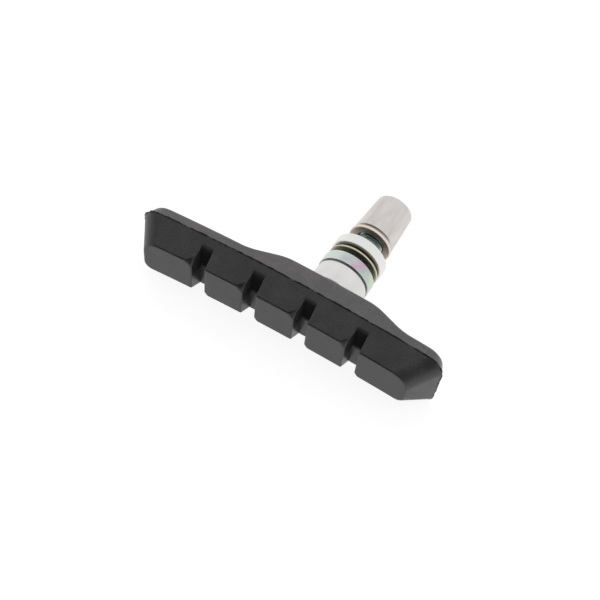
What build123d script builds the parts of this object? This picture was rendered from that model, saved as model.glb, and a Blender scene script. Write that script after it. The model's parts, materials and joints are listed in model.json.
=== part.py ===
from build123d import *
from math import cos, degrees, pi, sin, sqrt
import os

# Bicycle rim brake pad on a threaded post, in millimetres.
# The origin is where the post leaves the pad's back. +Y runs along the post, away from the rim.
# +X runs along the pad to its short end, and +Z points away from the wheel's hub.

# Rubber block: its outline follows the rim, and it is widest at the mould's parting plane.
# Its corners are rounder on the tyre's side, and the long end is steeper than the short one.
rim_radius = 330.0
pad_length = 70.8
pad_height = 14.2
tyre_corner = 4.0
hub_corner = 2.0
post_offset = 6.2
face_long_end_taper = 3.2
face_short_end_taper = 4.5
face_side_taper = 2.9
face_depth = 5.9
face_edge = 0.4

# Back of the block: a thin band at the ends and a raised boss round the post
band_depth = 2.6
boss_rise = 2.6
boss_length = 21.2
boss_ramp = 7.5
boss_blend = 4.0
back_end_taper = 2.3
back_side_taper = 0.9
back_edge = 0.6

# Thin rib that the mould's joint leaves all round the block
flash_width = 0.3
flash_thickness = 0.4

# Grooves across the braking face
groove_count = 4
groove_pitch = 12.2
groove_width = 3.1
groove_floor_width = 2.7
groove_depth = 3.5
groove_shift = -0.7

# Steel plate inside the rubber, and the post riveted into it
plate_length = 44.0
plate_height = 9.0
plate_thickness = 2.0
plate_cover = 4.4
post_diameter = 6.0
post_reach = 22.5
post_tip_chamfer = 0.7
rivet_diameter = 7.6
rivet_depth = 1.2

# Domed and dished washers that let the pad swivel on the brake arm
washer_bore_clearance = 0.2
dome_diameter = 11.5
dome_edge = 0.3
dome_shoulder = 0.45
ball_radius = 7.0
ball_clearance = 0.15
thick_dome_length = 5.0
thin_dome_length = 0.45
cup_diameter = 11.9
cup_length = 2.6
cup_bore_diameter = 7.8
cup_edge = 0.4
cup_rim_gap = 0.4
arm_gap = 1.4
outer_cup_play = 0.4

# Flat washer and the barrel nut with its hexagon socket, backed off so that the washers are loose.
# nut_tip_share is how much of the ring round the socket is cut off at the tip's edge.
flat_diameter = 9.8
flat_thickness = 0.7
flat_edge = 0.12
nut_slack = 3.1
nut_seat_gap = 0.05
nut_base_diameter = 9.5
nut_tip_diameter = 8.2
nut_length = 10.4
nut_base_chamfer = 0.3
nut_tip_share = 0.5
nut_thread_clearance = 0.1
socket_sides = 6
socket_across_flats = 5.0
socket_depth = 3.6
socket_lead = 0.2

# Places along the post that follow from the sizes above
parting_y = -(band_depth + boss_rise)
face_y = parting_y - face_depth
wheel_axle = Axis((0, 0, -rim_radius), (0, 1, 0))
flash_front_y = parting_y - flash_thickness / 2
flash_back_y = parting_y + flash_thickness / 2
band_y = parting_y + band_depth
plate_back_y = -plate_cover
plate_front_y = plate_back_y - plate_thickness
post_radius = post_diameter / 2
washer_bore = post_radius + washer_bore_clearance
arm_seat_y = thick_dome_length + cup_rim_gap + cup_length
thin_dome_y = arm_seat_y + arm_gap
outer_cup_y = thin_dome_y + thin_dome_length + cup_rim_gap + outer_cup_play
flat_y = outer_cup_y + cup_length + nut_slack
nut_y = flat_y + flat_thickness + nut_seat_gap
socket_corner = socket_across_flats / 2 / cos(pi / socket_sides)

os.makedirs("parts", exist_ok=True)


def across_post(y):
    """Plane square to the post at y, with its own x and y along +X and +Z."""
    return Plane.XZ.offset(-y)


def rim_band(y, length, height, outer_corner, inner_corner):
    """Outline of the pad at y: a band that follows the rim, with rounded corners."""
    centre = (0, -rim_radius)
    start = 90 + degrees((length / 2 + post_offset) / rim_radius)
    turn = -degrees(length / rim_radius)
    with BuildSketch(across_post(y)) as band:
        with BuildLine():
            outer = CenterArc(centre, rim_radius + height / 2, start, turn)
            inner = CenterArc(centre, rim_radius - height / 2, start, turn)
            Line(outer @ 0, inner @ 0)
            Line(outer @ 1, inner @ 1)
        make_face()
        fillet(band.vertices().sort_by(Axis.Y)[-2:], outer_corner)
        fillet(band.vertices().sort_by(Axis.Y)[:2], inner_corner)
    return band.sketch


def radial_plane(distance):
    """Plane across the pad at this distance from the post: x along the post, y away from the axle."""
    turn = distance / rim_radius
    place = (rim_radius * sin(turn), 0, rim_radius * (cos(turn) - 1))
    return Plane(origin=place, x_dir=(0, 1, 0), z_dir=(cos(turn), 0, -sin(turn)))


def tapered_band(base_y, top_y, long_end_taper, short_end_taper, side_taper):
    """Half of the block: a bar that follows the rim and tapers from the mould's joint to top_y."""
    top_height = pad_height - 2 * side_taper
    start = -(pad_length / 2 + post_offset)
    finish = pad_length / 2 - post_offset
    with BuildPart() as bar:
        with BuildSketch(radial_plane(start)):
            with BuildLine():
                Polyline(
                    (base_y, pad_height / 2),
                    (top_y, top_height / 2),
                    (top_y, -top_height / 2),
                    (base_y, -pad_height / 2),
                    close=True,
                )
            make_face()
        revolve(axis=wheel_axle, revolution_arc=degrees(pad_length / rim_radius))
        for distance, inward, end_taper in ((start, 1, long_end_taper), (finish, -1, short_end_taper)):
            slope = end_taper / (top_y - base_y)
            across = radial_plane(distance)
            foot = across.from_local_coords((base_y, 0, 0))
            normal = across.z_dir * inward - Vector(0, slope, 0)
            split(bisect_by=Plane(origin=foot, x_dir=across.y_dir, z_dir=normal), keep=Keep.TOP)
        corners = edges().filter_by(Plane.XZ, reverse=True).sort_by(Axis.Z)
        fillet(corners[-2:], tyre_corner)
        corners = edges().filter_by(Plane.XZ, reverse=True).sort_by(Axis.Z)
        fillet(corners[:2], hub_corner)
    return bar.part


def looks_back(face):
    """True for a face that points along the post more than across it."""
    normal = face.normal_at()
    return normal.Y > max(abs(normal.X), abs(normal.Z))


def ball_height(radius, sphere):
    """How far above the ball's centre its surface lies at this radius."""
    return sqrt(sphere**2 - radius**2)


# Rubber block
back_half = tapered_band(flash_back_y, 0, back_end_taper, back_end_taper, back_side_taper)
front_half = tapered_band(
    flash_front_y, face_y, face_long_end_taper, face_short_end_taper, face_side_taper
)
with BuildPart() as brake_block:
    # Back half, from the mould's joint to the height of the boss
    add(back_half)

    # Side view of the back: the boss runs down to the thin ends
    with BuildSketch(Plane.XY):
        with BuildLine():
            foot = boss_length / 2 + boss_ramp
            crest = boss_length / 2
            reach = pad_length
            Polyline(
                (-reach, flash_back_y),
                (-reach, band_y),
                (-foot, band_y),
                (-crest, 0),
                (crest, 0),
                (foot, band_y),
                (reach, band_y),
                (reach, flash_back_y),
                close=True,
            )
        make_face()
        bends = vertices().filter_by_position(Axis.X, -foot, foot)
        fillet(bends, boss_blend)
    extrude(amount=pad_height, both=True, mode=Mode.INTERSECT)
    back_faces = faces().filter_by(looks_back)
    rim_edges = [edge for edge in edges() if sum(edge in face.edges() for face in back_faces) == 1]
    chamfer(rim_edges, back_edge)

    # Rib at the mould's joint
    rib_length = pad_length + 2 * flash_width
    rib_height = pad_height + 2 * flash_width
    rib = rim_band(
        flash_front_y, rib_length, rib_height, tyre_corner + flash_width, hub_corner + flash_width
    )
    extrude(rib, amount=flash_thickness, dir=(0, 1, 0))

    # Front half, from the mould's joint to the braking face
    add(front_half)

    # Grooves, narrower at their floor
    for index in range(groove_count):
        along = (index - (groove_count - 1) / 2) * groove_pitch + groove_shift - post_offset
        across = radial_plane(along)
        with BuildSketch(Plane(origin=across.origin, x_dir=across.z_dir, z_dir=across.y_dir)):
            with BuildLine():
                Polyline(
                    (-groove_width / 2, face_y - groove_depth),
                    (-groove_width / 2, face_y),
                    (-groove_floor_width / 2, face_y + groove_depth),
                    (groove_floor_width / 2, face_y + groove_depth),
                    (groove_width / 2, face_y),
                    (groove_width / 2, face_y - groove_depth),
                    close=True,
                )
            make_face()
        extrude(amount=pad_height, both=True, mode=Mode.SUBTRACT)
    chamfer(edges().group_by(Axis.Y)[0], face_edge)

    # Room for the plate and the post, which the rubber is moulded round
    with BuildSketch(across_post(plate_front_y)):
        SlotOverall(plate_length, plate_height)
    extrude(amount=-plate_thickness, mode=Mode.SUBTRACT)
    with BuildSketch(across_post(plate_back_y)):
        Circle(post_radius)
    extrude(amount=-plate_cover, mode=Mode.SUBTRACT)
brake_block.part.label = "brake_block"
export_step(brake_block.part, "parts/brake_block.step")

# Steel plate, with a countersunk hole for the post's rivet head
with BuildPart() as backing_plate:
    with BuildSketch(across_post(plate_front_y)):
        SlotOverall(plate_length, plate_height)
    extrude(amount=-plate_thickness)
    with BuildSketch(Plane.XY):
        with BuildLine():
            Polyline(
                (0, plate_front_y),
                (rivet_diameter / 2, plate_front_y),
                (post_radius, plate_front_y + rivet_depth),
                (post_radius, plate_back_y),
                (0, plate_back_y),
                close=True,
            )
        make_face()
    revolve(axis=Axis.Y, mode=Mode.SUBTRACT)
backing_plate.part.label = "backing_plate"
export_step(backing_plate.part, "parts/backing_plate.step")

# Post: a plain bar here, with its rivet head in the plate and a chamfered tip
with BuildPart() as threaded_post:
    with BuildSketch(Plane.XY):
        with BuildLine():
            Polyline(
                (0, plate_front_y),
                (rivet_diameter / 2, plate_front_y),
                (post_radius, plate_front_y + rivet_depth),
                (post_radius, post_reach - post_tip_chamfer),
                (post_radius - post_tip_chamfer, post_reach),
                (0, post_reach),
                close=True,
            )
        make_face()
    revolve(axis=Axis.Y)
threaded_post.part.label = "threaded_post"
export_step(threaded_post.part, "parts/threaded_post.step")


def dome_section(base_y, length):
    """Half section of a washer with a flat base, a short rim and a ball-shaped top."""
    rim = dome_diameter / 2
    foot = rim - dome_shoulder
    rim_y = base_y + length
    ball_y = rim_y - ball_height(foot, ball_radius)
    top_y = ball_y + ball_height(washer_bore, ball_radius)
    edge = min(dome_edge, length / 2)
    with BuildSketch(Plane.XY) as section:
        with BuildLine():
            Polyline(
                (foot, rim_y),
                (rim, rim_y),
                (rim, base_y + edge),
                (rim - edge, base_y),
                (washer_bore, base_y),
                (washer_bore, top_y),
            )
            RadiusArc((washer_bore, top_y), (foot, rim_y), ball_radius)
        make_face()
    return section.sketch


def cup_section(base_y):
    """Half section of a washer whose dish sits over the ball of the dome below it."""
    rim = cup_diameter / 2
    bore = cup_bore_diameter / 2
    dish_radius = ball_radius + ball_clearance
    foot = dome_diameter / 2 - dome_shoulder
    ball_y = base_y - cup_rim_gap - ball_height(foot, ball_radius)
    mouth = sqrt(dish_radius**2 - (base_y - ball_y) ** 2)
    floor_y = ball_y + ball_height(bore, dish_radius)
    with BuildSketch(Plane.XY) as section:
        with BuildLine():
            Polyline(
                (mouth, base_y),
                (rim - cup_edge, base_y),
                (rim, base_y + cup_edge),
                (rim, base_y + cup_length),
                (bore, base_y + cup_length),
                (bore, floor_y),
            )
            RadiusArc((bore, floor_y), (mouth, base_y), dish_radius)
        make_face()
    return section.sketch


# Thick dome, flat on the pad's boss
with BuildPart() as thick_dome_washer:
    add(dome_section(0, thick_dome_length))
    revolve(axis=Axis.Y)
thick_dome_washer.part.label = "thick_dome_washer"
export_step(thick_dome_washer.part, "parts/thick_dome_washer.step")

# Inner cup, which bears on the near side of the brake arm
with BuildPart() as inner_cup_washer:
    add(cup_section(thick_dome_length + cup_rim_gap))
    revolve(axis=Axis.Y)
inner_cup_washer.part.label = "inner_cup_washer"
export_step(inner_cup_washer.part, "parts/inner_cup_washer.step")

# Thin dome, which bears on the far side of the brake arm
with BuildPart() as thin_dome_washer:
    add(dome_section(thin_dome_y, thin_dome_length))
    revolve(axis=Axis.Y)
thin_dome_washer.part.label = "thin_dome_washer"
export_step(thin_dome_washer.part, "parts/thin_dome_washer.step")

# Outer cup, over the thin dome
with BuildPart() as outer_cup_washer:
    add(cup_section(outer_cup_y))
    revolve(axis=Axis.Y)
outer_cup_washer.part.label = "outer_cup_washer"
export_step(outer_cup_washer.part, "parts/outer_cup_washer.step")

# Flat washer under the nut
with BuildPart() as flat_washer:
    with BuildSketch(across_post(flat_y)):
        Circle(flat_diameter / 2)
        Circle(washer_bore, mode=Mode.SUBTRACT)
    extrude(amount=-flat_thickness)
    chamfer(edges().filter_by(GeomType.CIRCLE).sort_by(SortBy.RADIUS)[-2:], flat_edge)
flat_washer.part.label = "flat_washer"
export_step(flat_washer.part, "parts/flat_washer.step")

# Barrel nut: a tapered body, tapped from its base, with a hexagon socket in its chamfered end
with BuildPart() as barrel_nut:
    base_radius = nut_base_diameter / 2
    tip_radius = nut_tip_diameter / 2
    tip_y = nut_y + nut_length
    with BuildSketch(Plane.XY):
        with BuildLine():
            Polyline(
                (0, nut_y),
                (base_radius - nut_base_chamfer, nut_y),
                (base_radius, nut_y + nut_base_chamfer),
                (tip_radius, tip_y),
                (0, tip_y),
                close=True,
            )
        make_face()
        tip_corner = vertices().group_by(Axis.Y)[-1].sort_by(Axis.X)[-1]
        chamfer(tip_corner, nut_tip_share * (tip_radius - socket_corner - socket_lead))
    revolve(axis=Axis.Y)
    with BuildSketch(across_post(nut_y)):
        Circle(post_radius + nut_thread_clearance)
    extrude(amount=-(nut_length - socket_depth), mode=Mode.SUBTRACT)
    with BuildSketch(across_post(tip_y)):
        RegularPolygon(socket_across_flats / 2, socket_sides, major_radius=False)
    extrude(amount=socket_depth, mode=Mode.SUBTRACT)
    socket_mouth = edges().filter_by(GeomType.LINE).group_by(Axis.Y)[-1]
    chamfer(socket_mouth, socket_lead)
barrel_nut.part.label = "barrel_nut"
export_step(barrel_nut.part, "parts/barrel_nut.step")
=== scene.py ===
# %% [markdown]
# # A bicycle rim brake pad
# The part is a black rubber block that the brake presses on the wheel's rim. A threaded post stands on its
# back, and carries two pairs of ball-seated washers, a flat washer and a barrel nut. The solids come from
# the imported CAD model, which sets every size and place. This lesson dresses them: it models each piece
# again with rounder edges and finer forms, and gives it the finish of the real one.

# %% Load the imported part
import json
from math import asin, atan2, cos, pi, radians, sin, sqrt, tan

import bmesh
import bpy
from mathutils import Matrix, Vector, noise


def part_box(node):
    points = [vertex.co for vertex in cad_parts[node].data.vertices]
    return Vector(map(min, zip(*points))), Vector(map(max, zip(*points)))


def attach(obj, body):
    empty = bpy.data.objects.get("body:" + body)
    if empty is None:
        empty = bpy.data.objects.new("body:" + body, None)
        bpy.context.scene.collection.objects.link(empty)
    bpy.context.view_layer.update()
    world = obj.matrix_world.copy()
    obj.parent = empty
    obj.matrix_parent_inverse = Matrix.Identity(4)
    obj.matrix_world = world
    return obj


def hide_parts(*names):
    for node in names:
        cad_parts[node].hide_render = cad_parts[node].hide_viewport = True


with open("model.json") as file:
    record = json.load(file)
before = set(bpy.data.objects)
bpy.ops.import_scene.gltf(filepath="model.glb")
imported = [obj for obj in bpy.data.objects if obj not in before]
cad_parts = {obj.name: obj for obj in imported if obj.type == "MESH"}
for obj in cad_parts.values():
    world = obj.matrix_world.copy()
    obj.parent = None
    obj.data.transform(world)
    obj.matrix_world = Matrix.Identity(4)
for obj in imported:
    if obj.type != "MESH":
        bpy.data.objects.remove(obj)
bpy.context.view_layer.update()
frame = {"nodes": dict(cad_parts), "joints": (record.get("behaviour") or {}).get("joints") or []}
mm = 0.001

# %% [markdown]
# ## The camera
# A camera is easiest to match before anything else is modelled. The view is a long lens from the front
# right, looking down at the braking face. Its place is given by two angles and a roll, as a tripod would be
# set, and the lens follows from how small the part stays in a picture this size.

# %% Camera
view_azimuth = radians(23.73)
view_elevation = radians(54.84)
view_roll = radians(8.88)
view_distance = 737 * mm
view_lens = 214.4
view_sensor = 36.0
pad_middle = Vector((-6.2, -5.2, 0)) * mm
frame_shift = 1.88 * mm

towards_camera = Vector((
    sin(view_azimuth) * cos(view_elevation),
    -cos(view_azimuth) * cos(view_elevation),
    sin(view_elevation),
))
level_right = Vector((cos(view_azimuth), sin(view_azimuth), 0))
camera_right = Matrix.Rotation(view_roll, 3, towards_camera) @ level_right
camera_up = towards_camera.cross(camera_right)
camera_place = pad_middle + view_distance * towards_camera + frame_shift * camera_right

camera = bpy.data.objects.new("camera", bpy.data.cameras.new("camera"))
camera.data.lens = view_lens
camera.data.sensor_width = view_sensor
axes = Matrix((camera_right, camera_up, towards_camera)).transposed().to_4x4()
camera.matrix_world = Matrix.Translation(camera_place) @ axes
bpy.context.collection.objects.link(camera)
bpy.context.scene.camera = camera
print("camera stands", round(camera_place.length / mm), "mm from the post")

# %% [markdown]
# ## Colours and nodes
# Colours are written as they look on screen, in hex. Shaders work with linear light, so one function turns
# hex to linear. A second function adds a node, sets its values and links its inputs, which keeps each
# material short enough to read.


# %% Helpers for materials
def linear(hex_colour):
    """Linear RGBA of an sRGB colour such as "8c8c8c"."""
    parts = [int(hex_colour[i:i + 2], 16) / 255 for i in (0, 2, 4)]
    return [c / 12.92 if c <= 0.04045 else ((c + 0.055) / 1.055) ** 2.4 for c in parts] + [1.0]


def add_node(tree, kind, inputs, **settings):
    """Add a node. An input is either a value or the output socket that feeds it."""
    made = tree.nodes.new(kind)
    for name, value in settings.items():
        setattr(made, name, value)
    for name, value in inputs.items():
        if isinstance(value, bpy.types.NodeSocket):
            tree.links.new(value, made.inputs[name])
        else:
            made.inputs[name].default_value = value
    return made


print("mid grey 808080 is", round(linear("808080")[0], 3), "in linear light")

# %% [markdown]
# ## Modelling helpers
# Real edges are never knife sharp, and the thin line of light along an edge makes a model look solid. So one
# function bevels edges, or single corners, and another finds the sharp edges. A bevel modifier could do this
# too, but an operator gives each group of edges its own size. Every piece then ends the same way: its bmesh
# becomes an object at the origin, shaded smooth with its sharp edges kept, and weighted normals keep its
# flats flat. It rides on the CAD body that carries it, and takes the place of its plain CAD node.

# %% Helpers for meshes
# Points closer than same_place count as level with each other, and points closer than weld are merged.
same_place = 0.01 * mm
weld = 0.001 * mm


def round_edges(bm, parts, size, segments=3, affect="EDGES"):
    """Bevel edges, or single vertices, to a round of this size, and give back the new faces."""
    made = bmesh.ops.bevel(
        bm, geom=parts, offset=size, offset_type="OFFSET", segments=segments,
        profile=0.5, affect=affect, clamp_overlap=False, material=-1,
    )
    bm.normal_update()
    return made["faces"]


def sharp_edges(bm, least_angle):
    """Edges where two faces meet at more than this angle."""
    return [e for e in bm.edges if len(e.link_faces) == 2 and e.calc_face_angle() > least_angle]


def finish_piece(name, bm, material, body, node):
    """Turn a bmesh into a shaded object that rides on a body and stands for a CAD node."""
    bmesh.ops.recalc_face_normals(bm, faces=bm.faces)
    for face in bm.faces:
        face.smooth = True
    for edge in sharp_edges(bm, radians(30)):
        edge.smooth = False
    mesh = bpy.data.meshes.new(name)
    bm.to_mesh(mesh)
    bm.free()
    mesh.materials.append(material)
    piece = bpy.data.objects.new(name, mesh)
    bpy.context.collection.objects.link(piece)
    piece.modifiers.new("flat_faces", "WEIGHTED_NORMAL").keep_sharp = True
    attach(piece, body)
    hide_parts(node)
    print(name, "has", len(mesh.polygons), "faces")
    return piece


print("points within", round(same_place / mm, 3), "mm count as level")

# %% [markdown]
# ## Moulded rubber
# The block is rubber filled with carbon black, moulded in a steel tool. It is a very dark grey that looks
# black only where it mirrors nothing: most of what the eye sees on it is a soft sheen of the white table.
# Handling leaves paler, drier patches. The back comes from the other half of the tool, and it is painted
# paler all over, as a painted sheen of the bright room behind it. One noise could make the patches. Two,
# multiplied, give them a speckled edge as well.

# %% Rubber: patches, specks and a painted sheen on the back
object_units_per_mm = 1 / mm
patch_width = 5.0
speck_width = 0.35
parting_y = -5.2 * mm
joint_blend = 0.2 * mm
rubber = bpy.data.materials.new("moulded_carbon_black_rubber")
rubber.use_nodes = True
tree = rubber.node_tree
shader = tree.nodes["Principled BSDF"]
place = add_node(tree, "ShaderNodeTexCoord", {}).outputs["Object"]
patches = add_node(tree, "ShaderNodeTexNoise", {
    "Vector": place, "Scale": object_units_per_mm / patch_width, "Detail": 4.0, "Roughness": 0.65,
}).outputs["Fac"]
specks = add_node(tree, "ShaderNodeTexNoise", {
    "Vector": place, "Scale": object_units_per_mm / speck_width, "Detail": 3.0, "Roughness": 0.7,
}).outputs["Fac"]
bloom = add_node(tree, "ShaderNodeMath", {0: patches, 1: specks}, operation="MULTIPLY").outputs[0]
bloom = add_node(tree, "ShaderNodeMapRange", {
    "Value": bloom, "From Min": 0.15, "From Max": 0.4,
}, interpolation_type="SMOOTHSTEP").outputs[0]
front_tone = add_node(tree, "ShaderNodeMix", {
    "Factor": bloom, "A": linear("282727"), "B": linear("3e3b3c"),
}, data_type="RGBA").outputs["Result"]
# Painted sheen: the back half gets a paler tone, for the brighter sheen of the room behind it.
back_painted_sheen_tone = add_node(tree, "ShaderNodeMix", {
    "Factor": bloom, "A": linear("474545"), "B": linear("5d5a5a"),
}, data_type="RGBA").outputs["Result"]
depth = add_node(tree, "ShaderNodeSeparateXYZ", {"Vector": place}).outputs["Y"]
back_half = add_node(tree, "ShaderNodeMapRange", {
    "Value": depth, "From Min": parting_y, "From Max": parting_y + joint_blend,
}).outputs[0]
tone = add_node(tree, "ShaderNodeMix", {
    "Factor": back_half, "A": front_tone, "B": back_painted_sheen_tone,
}, data_type="RGBA").outputs["Result"]
print("the two tones of the rubber meet at y", round(parting_y / mm, 1), "mm")

# %% [markdown]
# ## Painted shade and grain on the rubber
# The tyre's half of each groove is painted matt black: painted shade, for the dark that these recesses hold.
# A noise can't know where a groove is, so the mesh tells the shader: a number is stored on the corners of its
# faces, and the material turns to a matt black where that is 1. The tool's blasted skin gives a fine grain.
# It is drawn coarser than it is, because the real one would not show in a picture this size.

# %% Rubber: painted shade, sheen and grain
least_roughness = 0.3
most_roughness = 0.44
grain_width = 0.4
grain_height = 0.04 * mm
# Painted shade: where the mesh's number is 1, the colour turns to black and the roughness to 1.
painted_shade = add_node(tree, "ShaderNodeAttribute", {}, attribute_name="painted_shade").outputs["Fac"]
painted_shade = add_node(tree, "ShaderNodeMapRange", {"Value": painted_shade}, interpolation_type="SMOOTHSTEP").outputs[0]
tone = add_node(tree, "ShaderNodeMix", {
    "Factor": painted_shade, "A": tone, "B": linear("050505"),
}, data_type="RGBA").outputs["Result"]
tree.links.new(tone, shader.inputs["Base Color"])
dryness = add_node(tree, "ShaderNodeMapRange", {
    "Value": bloom, "To Min": least_roughness, "To Max": most_roughness,
}).outputs[0]
dryness = add_node(tree, "ShaderNodeMix", {"Factor": painted_shade, "A": dryness, "B": 1.0}).outputs["Result"]
tree.links.new(dryness, shader.inputs["Roughness"])
grain = add_node(tree, "ShaderNodeTexNoise", {
    "Vector": place, "Scale": object_units_per_mm / grain_width, "Detail": 2.0,
}).outputs["Fac"]
skin = add_node(tree, "ShaderNodeBump", {"Height": grain, "Strength": 0.5, "Distance": grain_height})
tree.links.new(skin.outputs["Normal"], shader.inputs["Normal"])
shader.inputs["IOR"].default_value = 1.6
print("rubber grain is", grain_width, "mm wide")

# %% [markdown]
# ## The rubber block, straight
# The block is moulded in two halves that meet at its widest line. It could be cut from a solid with
# booleans, but a loop-cut box gives cleaner edges: one cube, cut at the mould's joint, with the front and
# the back drawn in. It is modelled straight here, because planes and grooves are simple on a straight bar,
# and it is bent to the rim's curve at the end.

# %% Sizes of the block
block_low, block_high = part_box("brake_block")
rim_radius = 330 * mm
pad_length = 70.8 * mm
pad_height = 14.2 * mm
post_offset = 6.2 * mm
face_y = block_low.y
boss_y = block_high.y
band_y = -2.6 * mm
face_long_end_taper = 3.2 * mm
face_short_end_taper = 4.5 * mm
face_side_taper = 2.9 * mm
back_end_taper = 2.3 * mm
back_side_taper = 0.9 * mm
band_share = (band_y - parting_y) / (boss_y - parting_y)
print("block is", round((boss_y - face_y) / mm, 1), "mm thick at the boss")


# %% Tapered bar
def slice_faces(bm, faces, place, normal):
    """Cut these faces along a plane, with nothing taken away."""
    edges = dict.fromkeys(edge for face in faces for edge in face.edges)
    verts = dict.fromkeys(vert for face in faces for vert in face.verts)
    bmesh.ops.bisect_plane(bm, geom=[*faces, *edges, *verts], plane_co=place, plane_no=normal, dist=weld)
    bm.normal_update()


def draw_in(verts, long_end_taper, short_end_taper, side_taper):
    """Move vertices towards the block's middle line."""
    for vert in verts:
        vert.co.x += long_end_taper if vert.co.x < -post_offset else -short_end_taper
        vert.co.z -= side_taper if vert.co.z > 0 else -side_taper


block = bmesh.new()
bar_middle = Matrix.Translation((-post_offset, (face_y + band_y) / 2, 0))
bar_size = Matrix.Diagonal((pad_length, band_y - face_y, pad_height, 1))
bmesh.ops.create_cube(block, size=1, matrix=bar_middle @ bar_size)
slice_faces(block, block.faces[:], (0, parting_y, 0), (0, 1, 0))
front_verts = [v for v in block.verts if v.co.y < parting_y - mm]
back_verts = [v for v in block.verts if v.co.y > parting_y + mm]
band_end_taper = back_end_taper * band_share
draw_in(front_verts, face_long_end_taper, face_short_end_taper, face_side_taper)
draw_in(back_verts, band_end_taper, band_end_taper, back_side_taper * band_share)
print("bar has", len(block.faces), "faces")

# %% [markdown]
# ## Boss and rounded corners
# The back is a thin band that swells to a flat boss round the post, so that the rubber is thick where the
# steel plate and the post pull on it. A second block could be set on, but that would leave a seam. So the
# middle of the back is cut free and pulled out, and its ramps are rounded into the band. Beveling the
# slanted corners gives the block its soft ends, rounder on the tyre's side. It also lifts the joint line a
# little at each corner, so that line is laid flat again.

# %% Boss on the back
# A face looks straight along an axis when its normal has at least this share along it.
square_on = 0.9
boss_half = 10.6 * mm
boss_ramp = 7.5 * mm
boss_half_height = pad_height / 2 - back_side_taper
for distance in (-boss_half - boss_ramp, boss_half + boss_ramp):
    back_faces = [f for f in block.faces if f.normal.y > square_on]
    slice_faces(block, back_faces, (distance, 0, 0), (1, 0, 0))
middle_back = [f for f in block.faces if f.normal.y > square_on and abs(f.calc_center_median().x) < boss_half]
boss_top = bmesh.ops.extrude_discrete_faces(block, faces=middle_back)["faces"][0]
for vert in boss_top.verts:
    vert.co.x = boss_half if vert.co.x > 0 else -boss_half
    vert.co.y = boss_y
    vert.co.z = boss_half_height if vert.co.z > 0 else -boss_half_height
bmesh.ops.dissolve_limit(block, angle_limit=radians(0.5), verts=block.verts, edges=block.edges)
block.normal_update()
print("boss stands", round((boss_y - band_y) / mm, 1), "mm over the band")

# %% Rounded corners and ramps
tyre_corner = 3.4 * mm
hub_corner = 1.7 * mm
boss_blend = 10.0 * mm
block_half = pad_length / 2 - face_short_end_taper - mm


def far_out(edge):
    """True for an edge near the block's ends."""
    return all(abs(v.co.x + post_offset) > block_half for v in edge.verts)


def along_post(edge):
    """True for an edge that runs from the front to the back."""
    return abs(edge.verts[0].co.y - edge.verts[1].co.y) > mm


def looks_back(face):
    """True for a face of the block's back."""
    return face.normal.y > 0.5


for side, corner in ((1, tyre_corner), (-1, hub_corner)):
    corners = [e for e in block.edges if far_out(e) and along_post(e) and e.verts[0].co.z * side > mm]
    round_edges(block, corners, corner, segments=8)
for vert in block.verts:
    if abs(vert.co.y - parting_y) < mm:
        vert.co.y = parting_y
ramp_angle = atan2(boss_y - band_y, boss_ramp)
blend_reach = boss_blend * tan(ramp_angle / 2)
ramp_edges = [e for e in block.edges if len(e.link_faces) == 2 and all(map(looks_back, e.link_faces))]
round_edges(block, ramp_edges, blend_reach, segments=6)
print("ramps are blended over", len(ramp_edges), "edges")

# %% [markdown]
# ## Grooves
# Four grooves cross the braking face and carry water away. Each has slightly slanted walls, so that the
# rubber leaves the mould. Four wedges could be cut out with booleans, but those can leave thin faces, which
# the bevels to come don't take well. Here two cuts and a floor cut mark the groove out, its faces are
# deleted, and bridging the two open sides makes the walls and the floor in one step. On the tyre's side the
# floor rolls over into the side of the block, which is one more bevel.

# %% Cut the grooves
groove_count = 4
groove_pitch = 12.2 * mm
groove_width = 3.1 * mm
groove_floor_width = 2.7 * mm
groove_depth = 3.5 * mm
groove_shift = -0.7 * mm
groove_floor_y = face_y + groove_depth
wall_slant = (groove_width - groove_floor_width) / 2 / groove_depth


def looks_front(face):
    """True for a face of the block's front half, its slanted sides included."""
    return face.normal.y < -0.2


def faces_in_front(bm, low, high):
    """Faces of the front half whose middle lies between two places along the block."""
    return [f for f in filter(looks_front, bm.faces) if low < f.calc_center_median().x < high]


for index in range(groove_count):
    middle = (index - (groove_count - 1) / 2) * groove_pitch + groove_shift - post_offset
    for side in (-1, 1):
        mouth = Vector((middle + side * groove_width / 2, face_y, 0))
        front = list(filter(looks_front, block.faces))
        slice_faces(block, front, mouth, (1, side * wall_slant, 0))
    strip = faces_in_front(block, middle - groove_width / 2, middle + groove_width / 2)
    slice_faces(block, strip, (0, groove_floor_y, 0), (0, 1, 0))
    strip = faces_in_front(block, middle - groove_width / 2, middle + groove_width / 2)
    opened = [f for f in strip if f.calc_center_median().y < groove_floor_y]
    bmesh.ops.delete(block, geom=opened, context="FACES")
    rims = [e for e in block.edges if e.is_boundary and e.verts[0].co.z * e.verts[1].co.z > 0]
    bmesh.ops.bridge_loops(block, edges=rims)
    bmesh.ops.recalc_face_normals(block, faces=block.faces)
    print("groove", index + 1, "at", round(middle / mm, 1), "mm from the post")

# %% Roll the floors over to the tyre's side
floor_lip = 0.9 * mm
block.normal_update()
lips = [
    e for e in block.edges
    if all(abs(v.co.y - groove_floor_y) < same_place and v.co.z > 0 for v in e.verts)
]
round_edges(block, lips, floor_lip, segments=8)
print("rounded", len(lips), "groove floors")

# %% [markdown]
# ## Cut corners and rounded edges
# Moulded rubber has no knife edges: the braking face's edges are slightly round and the back's rounder. Each
# small block between two grooves also has two corners cut off, the one on the tyre's side more than the one
# on the hub's. Beveling single vertices makes those cuts. Their edges are rounded in the same call as the
# edges of the face, because a bevel that runs into another one's fresh curve tears the mesh.

# %% Cut the corners off
tyre_side_cut = 1.5 * mm
hub_side_cut = 1.0 * mm


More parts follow.
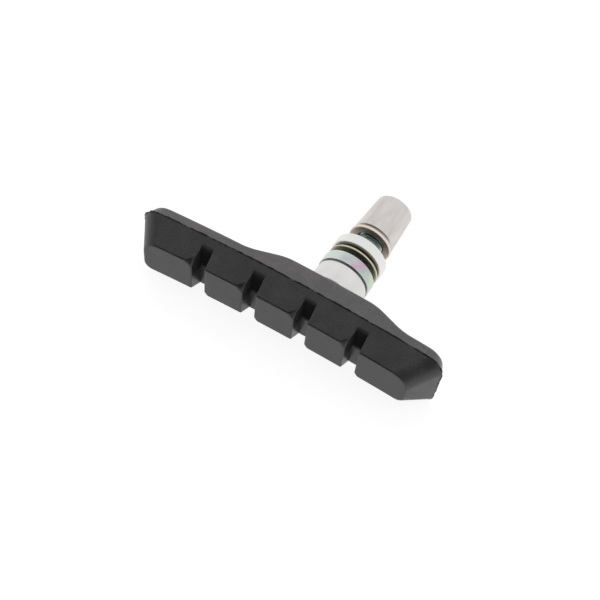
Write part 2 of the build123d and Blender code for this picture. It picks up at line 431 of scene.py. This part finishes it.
def on_braking_face(verts):
    """True where all these vertices lie on the braking face."""
    return all(v.co.y < face_y + same_place for v in verts)


def groove_corners(side):
    """Braking face corners at walls that look to +X on the tyre's side (1), or -X on the hub's (-1)."""
    found = [v for v in block.verts if on_braking_face([v]) and v.co.z * side > 0]
    return [v for v in found if any(f.normal.x * side > square_on for f in v.link_faces)]


block.normal_update()
cut_faces = []
for side, size in ((1, tyre_side_cut), (-1, hub_side_cut)):
    cut_faces += round_edges(block, groove_corners(side), size, segments=1, affect="VERTICES")
print("cut", len(cut_faces), "corners of the braking face")

# %% Round the edges
face_edge = 0.3 * mm
back_edge = 0.6 * mm
fin_thickness = 0.3 * mm


def ends_a_wall(edge):
    """True for an edge between a groove's wall and the top or bottom of the block."""
    wall = any(abs(f.normal.x) > 0.99 for f in edge.link_faces)
    return edge.is_convex and wall and any(abs(f.normal.z) > 0.8 for f in edge.link_faces)


def rim_of(bm, picked):
    """Edges with exactly one of the picked faces beside them."""
    return [e for e in bm.edges if sum(picked(f) for f in e.link_faces) == 1]


cut_edges = [e for f in cut_faces for e in f.edges]
wall_ends = [e for e in sharp_edges(block, radians(60)) if ends_a_wall(e) and not on_braking_face(e.verts)]
face_rim = [e for e in sharp_edges(block, radians(30)) if on_braking_face(e.verts)]
round_edges(block, list(dict.fromkeys(face_rim + wall_ends + cut_edges)), face_edge)
round_edges(block, rim_of(block, looks_back), back_edge)
joint = [e for e in block.edges if all(abs(v.co.y - parting_y) < same_place for v in e.verts)]
round_edges(block, joint, fin_thickness / 2, segments=1)
print("rounded", len(wall_ends), "ends of walls and", len(face_rim), "edges of the face")
print("the joint has", len(joint), "edges")

# %% [markdown]
# ## Slices
# A bar bends smoothly only where it has slices to bend at, so it is cut across at even steps. The joint, now
# a narrow band, is cut much finer, because it becomes the torn fin. A subdivision surface modifier adds cuts
# too, but it would soften the edges that were just made.

# %% Slice the bar for bending, and the joint for its fin
bend_step = 1.2 * mm
fin_step = 0.45 * mm
block_start = -pad_length / 2 - post_offset


def joint_faces(bm):
    """Faces of the narrow band at the mould's joint."""
    return [f for f in bm.faces if all(abs(v.co.y - parting_y) < fin_thickness for v in f.verts)]


for index in range(1, int(pad_length / bend_step) + 1):
    slice_faces(block, block.faces[:], (block_start + index * bend_step, 0, 0), (1, 0, 0))
for index in range(1, int(pad_length / fin_step) + 1):
    slice_faces(block, joint_faces(block), (block_start + index * fin_step, 0, 0), (1, 0, 0))
for index in range(1, int(pad_height / fin_step) + 1):
    slice_faces(block, joint_faces(block), (0, 0, index * fin_step - pad_height / 2), (0, 0, 1))
print("block has", len(block.faces), "faces")

# %% [markdown]
# ## Painted shade in the grooves
# This cell writes the number that the rubber's material reads. A groove's faces get 1 on the tyre's side and
# 0 on the hub's, with a short fade at the middle and over the lip. They could be painted by hand. A rule is
# exact, and it needs only two more slices, where the fade starts and ends. The layer is made before any face
# is picked, because bmesh loses hold of picked faces when a layer is added.

# %% Mark the painted shade
shade_fade = 0.8 * mm
painted_shade_layer = block.loops.layers.float.new("painted_shade")


def in_groove(face):
    """True for a groove's walls, floor and lip."""
    depth = face.calc_center_median().y - face_y
    wall = abs(face.normal.x) > 0.95
    floor = abs(face.normal.x) < 0.1 and face.normal.y < -0.5 and depth > groove_depth - face_edge
    return face_edge < depth < groove_depth + floor_lip and (wall or floor)


# Painted shade: groove faces on the tyre's side get 1, and the rubber paints them matt black.
for height in (-shade_fade, shade_fade):
    slice_faces(block, list(filter(in_groove, block.faces)), (0, 0, height), (0, 0, 1))
painted_shade_faces = list(filter(in_groove, block.faces))
for face in painted_shade_faces:
    for corner in face.loops:
        past_floor = max(0, corner.vert.co.y - groove_floor_y) / floor_lip
        corner[painted_shade_layer] = 1 - min(1, past_floor) if corner.vert.co.z > 0 else 0.0
print("painted_black lies on", len(painted_shade_faces), "faces")

# %% [markdown]
# ## The fin at the mould's joint
# Where the two halves of the mould meet, a thin skin of rubber creeps between them and tears off unevenly. A
# bump would not show in the outline, so the fin is real: the narrow band is extruded, each of its points is
# pulled out by its own share of the fin's width, and the fin is squeezed thin. Its front is painted dark in
# places, as painted shade along the joint. The edges at its foot are marked sharp, so that its shading
# doesn't smear over the block.

# %% Pull out the fin
fin_width = 0.3 * mm
tear_length = 1.1 * mm
mean_tear = 0.6
least_tear = 0.15
fin_squeeze = 0.3
# Painted shade: patches on the fin's front faces, which the rubber paints matt black.
mean_fin_shade = 0.3
fin_shade_swing = 1.5
pulled = bmesh.ops.extrude_face_region(block, geom=joint_faces(block))["geom"]
pulled = [g for g in pulled if isinstance(g, bmesh.types.BMVert)]
fin_faces = dict.fromkeys(f for v in pulled for f in v.link_faces)
fin_edges = {e for v in pulled for e in v.link_edges}
for edge in {e for f in fin_faces for e in f.edges} - fin_edges:
    edge.smooth = False
block.normal_update()
for vert in pulled:
    out = Vector((vert.normal.x, 0, vert.normal.z)).normalized()
    torn = mean_tear + noise.noise(vert.co / tear_length)
    vert.co += out * fin_width * max(least_tear, min(1, torn))
    vert.co.y = parting_y + fin_thickness / 4 + (vert.co.y - parting_y) * fin_squeeze
block.normal_update()
for face in fin_faces:
    fin_shade = mean_fin_shade + fin_shade_swing * noise.noise(face.calc_center_median() / shade_fade)
    for corner in face.loops:
        corner[painted_shade_layer] = fin_shade if face.normal.y < 0 else 0.0
print("fin has", len(fin_faces), "faces")

# %% [markdown]
# ## Bending
# The block follows the rim. A Simple Deform modifier could bend it by an angle. A little trigonometry can
# use the rim's radius itself: each point keeps its distance from the middle line, and that line becomes an
# arc of this radius.

# %% Bend the block to the rim
for vert in block.verts:
    turn = vert.co.x / rim_radius
    reach = rim_radius + vert.co.z
    vert.co.x = reach * sin(turn)
    vert.co.z = reach * cos(turn) - rim_radius
rubber_block = finish_piece("rubber_block", block, rubber, "pad", "brake_block")

# %% [markdown]
# ## Turned metal
# The washers and the nut are turned steel, plated with zinc. Turning leaves fine rings round the axis, drawn
# here coarser than a lathe leaves them, or they would not show. The plating decides the colour. A passivated
# film changes colour with its thickness, which drifts across a washer, so a ramp of tones follows the way
# across it as well as a noise. Inside a certain radius the metal is painted darker, as painted shade where a
# washer lies against its neighbour. Each piece could have its own material, but they differ only in tones and
# numbers, so one function makes all.

# %% A turned finish
ring_depth = 0.008 * mm
painted_shade_blend = 0.15 * mm
film_reach = 6.0 * mm
smudge_width = 1.5
smudge_spread = 0.25
# A wave texture of scale 1 repeats after this many units.
wave_unit = 2 * pi / 20


def turned_finish(
    name, tones, tone_width, roughness, ring_pitch, lean=0, stretch=1, painted_shade_radius=0, painted_shade_tone="9c9683"
):
    """Plated metal with turning rings, whose colour drifts between tones. Lengths are in mm.

    lean is how far the colour follows the way across the washer, stretch under 1 draws the tones out along
    the post, and inside the radius of painted shade the metal is painted dark, as shade between the parts.
    """
    material = bpy.data.materials.new(name)
    material.use_nodes = True
    tree = material.node_tree
    shader = tree.nodes["Principled BSDF"]
    shader.inputs["Metallic"].default_value = 1.0
    place = add_node(tree, "ShaderNodeTexCoord", {}).outputs["Object"]
    drawn = add_node(tree, "ShaderNodeVectorMath", {
        0: place, 1: (1, stretch, 1),
    }, operation="MULTIPLY").outputs[0]
    drift = add_node(tree, "ShaderNodeTexNoise", {
        "Vector": drawn, "Scale": object_units_per_mm / tone_width, "Detail": 2.0, "Roughness": 0.4,
    }).outputs["Fac"]
    drift = add_node(tree, "ShaderNodeMapRange", {
        "Value": drift, "From Min": 0.3, "From Max": 0.7,
    }).outputs[0]
    across = add_node(tree, "ShaderNodeSeparateXYZ", {"Vector": place}).outputs["X"]
    across = add_node(tree, "ShaderNodeMapRange", {
        "Value": across, "From Min": -film_reach, "From Max": film_reach,
    }).outputs[0]
    drift = add_node(tree, "ShaderNodeMix", {"Factor": lean, "A": drift, "B": across}).outputs["Result"]
    ramp = add_node(tree, "ShaderNodeValToRGB", {"Fac": drift})
    while len(ramp.color_ramp.elements) < len(tones):
        ramp.color_ramp.elements.new(0.5)
    for index, tone in enumerate(tones):
        ramp.color_ramp.elements[index].position = index / (len(tones) - 1)
        ramp.color_ramp.elements[index].color = linear(tone)
    flat_place = add_node(tree, "ShaderNodeVectorMath", {
        0: place, 1: (1, 0, 1),
    }, operation="MULTIPLY").outputs[0]
    radius = add_node(tree, "ShaderNodeVectorMath", {0: flat_place}, operation="LENGTH").outputs["Value"]
    # Painted shade: inside the shade radius the colour fades to a darker tone, for the shade where parts
    # meet.
    unshaded = add_node(tree, "ShaderNodeMapRange", {
        "Value": radius, "From Min": painted_shade_radius * mm - painted_shade_blend, "From Max": painted_shade_radius * mm,
    }).outputs[0]
    colour = add_node(tree, "ShaderNodeMix", {
        "Factor": unshaded, "A": linear(painted_shade_tone), "B": ramp.outputs["Color"],
    }, data_type="RGBA").outputs["Result"]
    tree.links.new(colour, shader.inputs["Base Color"])
    smudge = add_node(tree, "ShaderNodeTexNoise", {
        "Vector": drawn, "Scale": object_units_per_mm / smudge_width, "Detail": 4.0, "Roughness": 0.6,
    }).outputs["Fac"]
    dull = add_node(tree, "ShaderNodeMapRange", {
        "Value": smudge,
        "To Min": roughness * (1 - smudge_spread), "To Max": roughness * (1 + smudge_spread),
    }).outputs[0]
    tree.links.new(dull, shader.inputs["Roughness"])
    rings = add_node(tree, "ShaderNodeTexWave", {
        "Vector": place, "Scale": object_units_per_mm * wave_unit / ring_pitch,
        "Distortion": 1.2, "Detail": 2.0, "Detail Scale": 3.0,
    }, bands_direction="Y").outputs["Fac"]
    marks = add_node(tree, "ShaderNodeBump", {"Height": rings, "Strength": 0.3, "Distance": ring_depth})
    tree.links.new(marks.outputs["Normal"], shader.inputs["Normal"])
    print(name, "runs through", len(tones), "tones")
    return material


# %% Finishes of the metal pieces
# Zinc plate with a satin skin: a pale, even grey without a clear mirror image.
satin_zinc = turned_finish(
    "satin_zinc_plating", ["dad9d8", "e4e3e2"], tone_width=3.0, roughness=0.42, ring_pitch=0.22
)
# The same plate, a little olive, and painted dark inside its seat: painted shade where it lies against the
# cup.
olive_zinc_painted_shade = turned_finish(
    "olive_satin_zinc_painted_shade", ["c6c2b0", "d2cebd"], tone_width=3.0, roughness=0.42, ring_pitch=0.22, painted_shade_radius=5.45
)
# A passivated film: green at one side, then grey with one pink patch, and yellow green at the other side.
iridescent_zinc = turned_finish(
    "iridescent_passivated_zinc",
    ["c8d9cd", "c8d9cd", "c6d6cb", "c8d4cc", "cfd6d0", "cdd3cf", "c2c8c6", "b9bfc0", "c8a5bb", "b4bcbe",
     "c3cfc0", "d3d9bb", "dadfc4"],
    tone_width=4.0, roughness=0.3, ring_pitch=0.25, lean=0.75,
)
# A thinner film: nearly white, with only a hint of green and yellow, and painted shade inside its seat.
faint_iridescent_zinc = turned_finish(
    "faintly_iridescent_zinc", ["e4e3e0", "e0e3e0", "e6e4e3", "e3e3dc"],
    tone_width=5.0, roughness=0.32, ring_pitch=0.25, painted_shade_radius=5.6,
)
# Plain zinc: warm and creamy at the rim, and painted a darker grey inside: painted shade where the cup covers
# it.
plain_zinc = turned_finish(
    "plain_zinc_plating", ["dfd2c8", "e6dad0"],
    tone_width=3.0, roughness=0.36, ring_pitch=0.3, painted_shade_radius=4.75, painted_shade_tone="a89f97",
)
# Zinc on the thread, painted a darker cool grey with a touch of teal: painted shade and the teal reflection
# of the gap between the washers.
thread_zinc_painted_shade = turned_finish(
    "zinc_thread_painted_shade", ["a3b0af", "b7c1bf"], tone_width=1.5, roughness=0.3, ring_pitch=0.3
)
# Bright plate on the nut: warm grey streaks drawn out along the barrel.
bright_plating = turned_finish(
    "bright_nut_plating", ["c9c4c1", "d8d3d0"], tone_width=1.1, roughness=0.34, ring_pitch=0.35, stretch=0.2
)
# Bare rolled sheet, for the hidden plate: a dull mid grey.
rolled_steel = turned_finish(
    "rolled_steel_sheet", ["8a8a8a", "9b9a98"], tone_width=4.0, roughness=0.45, ring_pitch=0.5
)
frame["nodes"]["backing_plate"].data.materials.clear()
frame["nodes"]["backing_plate"].data.materials.append(rolled_steel)
print("the hidden plate wears", rolled_steel.name)

# %% [markdown]
# ## Domes and cups
# The brake arm is clamped between two pairs of washers: a dome with a ball-shaped top, and a cup whose dish
# sits on it, so that the pad can be tilted to meet the rim. Cylinders and spheres could be joined with
# booleans. A lathe makes the real ones, though, and spin is a lathe: a half section with a few corners is
# swept once round the post, and the ball's arc is itself a spun point.

# %% Helpers for turned pieces
round_steps = 96
arc_steps = 10


def section(points):
    """A bmesh with an open chain of edges through (radius, y) points."""
    bm = bmesh.new()
    verts = [bm.verts.new((radius, y, 0)) for radius, y in points]
    for pair in zip(verts, verts[1:]):
        bm.edges.new(pair)
    return bm, verts


def add_arc(bm, vert, centre_y, end_radius):
    """Carry the chain on from vert along a circle about a point on the post's axis."""
    ball = sqrt(vert.co.x ** 2 + (vert.co.y - centre_y) ** 2)
    bmesh.ops.spin(
        bm, geom=[vert], cent=(0, centre_y, 0), axis=(0, 0, 1), steps=arc_steps,
        angle=asin(vert.co.x / ball) - asin(end_radius / ball),
    )


def spin_round(bm):
    """Sweep the whole chain once round the post and close it."""
    bmesh.ops.remove_doubles(bm, verts=bm.verts, dist=weld)
    bmesh.ops.spin(
        bm, geom=bm.verts[:] + bm.edges[:], cent=(0, 0, 0), axis=(0, 1, 0),
        angle=2 * pi, steps=round_steps, use_merge=True,
    )
    bmesh.ops.remove_doubles(bm, verts=bm.verts, dist=weld)
    bmesh.ops.recalc_face_normals(bm, faces=bm.faces)
    bm.normal_update()


print("turned pieces have", round_steps, "steps round the post")

# %% Domes
ball_radius = 7.0 * mm
washer_bore = 3.2 * mm
dome_shoulder = 0.45 * mm


def make_dome(name, node, plating, edge, base_edge):
    """Spin a washer with a ball-shaped top. base_edge rounds its outer base, and edge the rest."""
    low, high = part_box(node)
    rim = high.x
    foot = rim - dome_shoulder
    ball_y = high.y - sqrt(ball_radius ** 2 - washer_bore ** 2)
    rim_y = ball_y + sqrt(ball_radius ** 2 - foot ** 2)
    bm, verts = section([
        (foot, rim_y), (rim, rim_y), (rim, low.y), (washer_bore, low.y), (washer_bore, high.y),
    ])
    add_arc(bm, verts[-1], ball_y, foot)
    spin_round(bm)
    base = [
        e for e in sharp_edges(bm, radians(30))
        if all(v.co.y < low.y + same_place and v.co.xz.length > foot for v in e.verts)
    ]
    round_edges(bm, base, base_edge)
    round_edges(bm, sharp_edges(bm, radians(40)), edge)
    finish_piece(name, bm, plating, "pad", node)


make_dome("thick_dome", "thick_dome_washer", satin_zinc, edge=0.08 * mm, base_edge=0.45 * mm)
make_dome("thin_dome", "thin_dome_washer", olive_zinc_painted_shade, edge=0.08 * mm, base_edge=0.12 * mm)

# %% Cups
ball_clearance = 0.15 * mm
cup_bore = 3.9 * mm


def make_cup(name, node, body, joint_name, plating, edge):
    """Spin a washer with a dish about the centre of its swivel joint. edge rounds it outside."""
    low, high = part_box(node)
    joint = next(j for j in frame["joints"] if j["name"] == joint_name)
    ball_y = joint["pos_m"][1]
    dish = ball_radius + ball_clearance
    mouth = sqrt(dish ** 2 - (low.y - ball_y) ** 2)
    floor_y = ball_y + sqrt(dish ** 2 - cup_bore ** 2)
    bm, verts = section([
        (mouth, low.y), (high.x, low.y), (high.x, high.y), (cup_bore, high.y), (cup_bore, floor_y),
    ])
    add_arc(bm, verts[-1], ball_y, mouth)
    spin_round(bm)
    outer = [e for e in sharp_edges(bm, radians(30)) if e.verts[0].co.xz.length > mouth + same_place]
    round_edges(bm, outer, edge)
    finish_piece(name, bm, plating, body, node)


make_cup(
    "inner_cup", "inner_cup_washer", "inner_cup", "inner_cup_swivel", iridescent_zinc, edge=0.12 * mm
)
make_cup(
    "outer_cup", "outer_cup_washer", "outer_cup", "outer_cup_swivel", faint_iridescent_zinc, edge=0.3 * mm
)

# %% [markdown]
# ## Flat washer
# A thin washer, stamped from sheet, keeps the nut from dragging on the cup as it turns. A cylinder with a
# hole would do, but the spun section comes with its four edges ready to be rounded.

# %% Spin the flat washer
washer_edge = 0.1 * mm
low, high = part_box("flat_washer")
washer, _ = section([
    (washer_bore, low.y), (high.x, low.y), (high.x, high.y), (washer_bore, high.y), (washer_bore, low.y),
])
spin_round(washer)
round_edges(washer, sharp_edges(washer, radians(30)), washer_edge)
finish_piece("thin_flat_washer", washer, plain_zinc, "washer_carrier", "flat_washer")

# %% [markdown]
# ## Threaded post
# The post is an M6 stud with a pitch of 1 mm. A thread is one ridge wound round a core. A screw modifier
# could wind it, and so can spin, which leaves a mesh that can be cut at once: the outline of a single pitch
# is turned while each step also moves it up the post by its share of the pitch. Neighbouring turns meet and
# are merged, the ends are cut square, and the tip is chamfered.

# %% Wind the thread
low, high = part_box("threaded_post")
post_radius = 3.0 * mm
thread_pitch = 1.0 * mm
thread_depth = 0.6 * mm
thread_start = -1.0 * mm
thread_weld = 0.002 * mm
turn_steps = 36
core = post_radius - thread_depth
turns = int((high.y - thread_start) / thread_pitch) + 2
first = thread_start - thread_pitch
post, _ = section([
    (core, first),
    (core, first + thread_pitch / 8),
    (post_radius, first + thread_pitch * 7 / 16),
    (post_radius, first + thread_pitch * 9 / 16),
    (core, first + thread_pitch * 7 / 8),
    (core, first + thread_pitch),
])
bmesh.ops.spin(
    post, geom=post.verts[:] + post.edges[:], cent=(0, 0, 0), axis=(0, 1, 0),
    angle=2 * pi * turns, steps=turn_steps * turns, dvec=(0, thread_pitch / turn_steps, 0),
)
bmesh.ops.remove_doubles(post, verts=post.verts, dist=thread_weld)
print("thread has", turns, "turns")

# %% Cut its ends, and add the tip and the rivet head
rivet_radius = high.x
rivet_depth = 1.2 * mm
tip_chamfer = 0.7 * mm
for height, outwards in ((thread_start, -1), (high.y, 1)):
    bmesh.ops.bisect_plane(
        post, geom=post.verts[:] + post.edges[:] + post.faces[:], dist=weld,
        plane_co=(0, height, 0), plane_no=(0, outwards, 0), clear_outer=True,
    )
for vert in post.verts:
    across = vert.co.xz.length
    allowed = post_radius - max(0, vert.co.y - (high.y - tip_chamfer))
    if across > allowed:
        vert.co.x *= allowed / across
        vert.co.z *= allowed / across
rim = [e for e in post.edges if e.is_boundary and e.verts[0].co.y > 0]
bmesh.ops.contextual_create(post, geom=rim)
rim = [e for e in post.edges if e.is_boundary]
for radius, y in ((post_radius, thread_start), (post_radius, low.y + rivet_depth), (rivet_radius, low.y)):
    made = bmesh.ops.extrude_edge_only(post, edges=rim)["geom"]
    rim = [g for g in made if isinstance(g, bmesh.types.BMEdge)]
    for vert in {v for e in rim for v in e.verts}:
        scale = radius / vert.co.xz.length
        vert.co = (vert.co.x * scale, y, vert.co.z * scale)
bmesh.ops.contextual_create(post, geom=rim)
finish_piece("post_with_thread", post, thread_zinc_painted_shade, "pad", "threaded_post")

# %% [markdown]
# ## Barrel nut
# The nut is a long tapered barrel, tapped from its base and broached with a hexagon at its tip for a key. Its
# base has a flat chamfer, which shows as one dark line, and its tip is rounded. The outside is spun. The
# socket could be cut with a boolean, but its corners could leave the round rim ragged. Instead, a circle of
# six points is cut until it has as many points as the spun rim, and bridging the two loops gives a clean
# ring between round and six-sided.

# %% Spin the barrel
low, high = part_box("barrel_nut")
base_radius = high.x
tip_radius = 4.1 * mm
base_chamfer = 0.65 * mm
tip_round = 0.8 * mm
nut_bore = 3.1 * mm
socket_sides = 6
socket_across_flats = 5.0 * mm
socket_corner = socket_across_flats / 2 / cos(pi / socket_sides)
socket_depth = 3.6 * mm
socket_lead = 0.2 * mm
socket_rim = socket_corner + socket_lead
socket_floor = high.y - socket_depth
nut, _ = section([
    (nut_bore, socket_floor), (nut_bore, low.y), (base_radius, low.y), (tip_radius, high.y),
    (socket_rim + socket_lead, high.y),
])
spin_round(nut)


def nut_ring(y, least_radius):
    """Edges of the nut at this height that lie outside a radius."""
    level = [e for e in nut.edges if all(abs(v.co.y - y) < same_place for v in e.verts)]
    return [e for e in level if all(v.co.xz.length > least_radius for v in e.verts)]


round_edges(nut, nut_ring(low.y, base_radius - same_place), base_chamfer, segments=1)
round_edges(nut, nut_ring(high.y, tip_radius - same_place), tip_round, segments=6)
print("nut is", round((high.y - low.y) / mm, 1), "mm long")

# %% Broach the socket
outer_rim = [e for e in nut_ring(high.y, socket_rim) if e.is_boundary]
bore_rim = [e for e in nut_ring(socket_floor, socket_corner) if e.is_boundary]
facing_post = Matrix.Rotation(pi / 2, 4, "X")
hexagon = bmesh.ops.create_circle(
    nut, segments=socket_sides, radius=socket_rim, matrix=Matrix.Translation((0, high.y, 0)) @ facing_post
)
hexagon = list(dict.fromkeys(e for v in hexagon["verts"] for e in v.link_edges))
bmesh.ops.subdivide_edges(nut, edges=hexagon, cuts=round_steps // socket_sides - 1)
hexagon = [e for e in nut.edges if e.is_wire]
bmesh.ops.bridge_loops(nut, edges=outer_rim + hexagon)
for scale, y in ((socket_corner / socket_rim, high.y - socket_lead), (1, socket_floor)):
    made = bmesh.ops.extrude_edge_only(nut, edges=hexagon)["geom"]
    hexagon = [g for g in made if isinstance(g, bmesh.types.BMEdge)]
    for vert in dict.fromkeys(v for e in hexagon for v in e.verts):
        vert.co = (vert.co.x * scale, y, vert.co.z * scale)
bmesh.ops.bridge_loops(nut, edges=bore_rim + hexagon)
finish_piece("nut_barrel", nut, bright_plating, "nut", "barrel_nut")

# %% [markdown]
# ## Table
# The part lies on a white table, on the two ends of the block, with the nut's tip just clear of it, so the
# table leans a little in the part's own frame. A bright lamp could burn the table out to white, but it would
# burn out the zinc too. So most of the white is a glow that only the camera and mirror images see. Lit grey
# paper adds the rest, and that part still shows a soft shadow. From below the table is clear.

# %% Lay the table under the part
post_dip = 0.142
table_reach = 2.0
mesh_points = [v.co for v in rubber_block.data.vertices]
left_foot = min((p for p in mesh_points if p.x < -post_offset), key=lambda p: p.z)
right_foot = min((p for p in mesh_points if p.x > -post_offset), key=lambda p: p.z)
along = (right_foot - left_foot).normalized()
upwards = along.cross(Vector((0, 1, post_dip))).normalized()
table = bpy.data.meshes.new("table")
table_bm = bmesh.new()
table_turn = upwards.to_track_quat("Z", "Y").to_matrix().to_4x4()
bmesh.ops.create_grid(
    table_bm, x_segments=1, y_segments=1, size=table_reach, matrix=Matrix.Translation(left_foot) @ table_turn
)
table_bm.to_mesh(table)
table_bm.free()
floor = bpy.data.objects.new("table", table)
bpy.context.collection.objects.link(floor)
print("table leans", [round(v, 3) for v in upwards])


# %% White table top
def seen_rays(tree):
    """A socket that is 1 for what is seen, straight, mirrored or through glass, and 0 for spread light."""
    rays = add_node(tree, "ShaderNodeLightPath", {})
    seen = rays.outputs["Is Camera Ray"]
    for name in ("Is Glossy Ray", "Is Transmission Ray"):
        pair = {0: seen, 1: rays.outputs[name]}
        seen = add_node(tree, "ShaderNodeMath", pair, operation="MAXIMUM").outputs[0]
    return seen


glow_level = 0.9
white = bpy.data.materials.new("white_table")
white.use_nodes = True
tree = white.node_tree
tree.nodes.remove(tree.nodes["Principled BSDF"])
paper = add_node(tree, "ShaderNodeBsdfDiffuse", {"Color": linear("f4f4f4")})
shadow = add_node(tree, "ShaderNodeBsdfDiffuse", {"Color": linear("909090")})
shine = add_node(tree, "ShaderNodeEmission", {"Strength": glow_level})
glowing = add_node(tree, "ShaderNodeAddShader", {0: shadow.outputs[0], 1: shine.outputs[0]})
sheet = add_node(tree, "ShaderNodeMixShader", {
    0: seen_rays(tree), 1: paper.outputs[0], 2: glowing.outputs[0],
})
under = add_node(tree, "ShaderNodeNewGeometry", {}).outputs["Backfacing"]
clear = add_node(tree, "ShaderNodeBsdfTransparent", {})
top = add_node(tree, "ShaderNodeMixShader", {0: under, 1: sheet.outputs[0], 2: clear.outputs[0]})
tree.links.new(top.outputs[0], tree.nodes["Material Output"].inputs["Surface"])
table.materials.append(white)
print("table glows at", glow_level, "of white")

# %% [markdown]
# ## Room and light
# The room is white all round and dark low in front of the part. Rubber and plated metal show mostly what
# they mirror, so this dark side shades the slanted top of the rubber, and draws thin dark lines along its
# rounded edges and the nut's chamfer. Black cards do this in a studio, and planes could do it here, but a
# gradient in the world has no edges to mirror. One soft box over the back of the table gives the shadow its
# side. It is hidden from mirror images, where its outline would show.

# %% Room
room_level = 0.62
dark_side = Vector((-0.1, -0.97, 0.2)).normalized()
dark_level = 0.05
dark_from = 0.2
dark_full = 0.85
world = bpy.data.worlds.new("studio")
bpy.context.scene.world = world
world.use_nodes = True
tree = world.node_tree
strength = add_node(tree, "ShaderNodeMapRange", {
    "Value": seen_rays(tree), "To Min": room_level, "To Max": 1.0,
}).outputs[0]
direction = add_node(tree, "ShaderNodeTexCoord", {}).outputs["Generated"]
facing = add_node(tree, "ShaderNodeVectorMath", {0: direction, 1: dark_side}, operation="DOT_PRODUCT")
shade = add_node(tree, "ShaderNodeMapRange", {
    "Value": facing.outputs["Value"], "From Min": dark_from, "From Max": dark_full,
    "To Min": 1.0, "To Max": dark_level,
}, interpolation_type="SMOOTHSTEP").outputs[0]
tree.links.new(shade, tree.nodes["Background"].inputs["Color"])
tree.links.new(strength, tree.nodes["Background"].inputs["Strength"])
print("room gives", room_level, "of white to matt surfaces")

# %% Soft box over the back of the table
soft_box = bpy.data.lights.new("soft_box", "AREA")
soft_box.shape = "SQUARE"
soft_box.size = 0.8
soft_box.energy = 2.4
lamp = bpy.data.objects.new("soft_box", soft_box)
lamp.location = Vector((-0.25, 0.5, 0.75))
lamp.visible_glossy = False
lamp.rotation_euler = lamp.location.to_track_quat("Z", "Y").to_euler()
bpy.context.collection.objects.link(lamp)
bpy.context.scene.view_settings.view_transform = "Standard"
print("soft box hangs", round(lamp.location.length, 2), "m from the post")
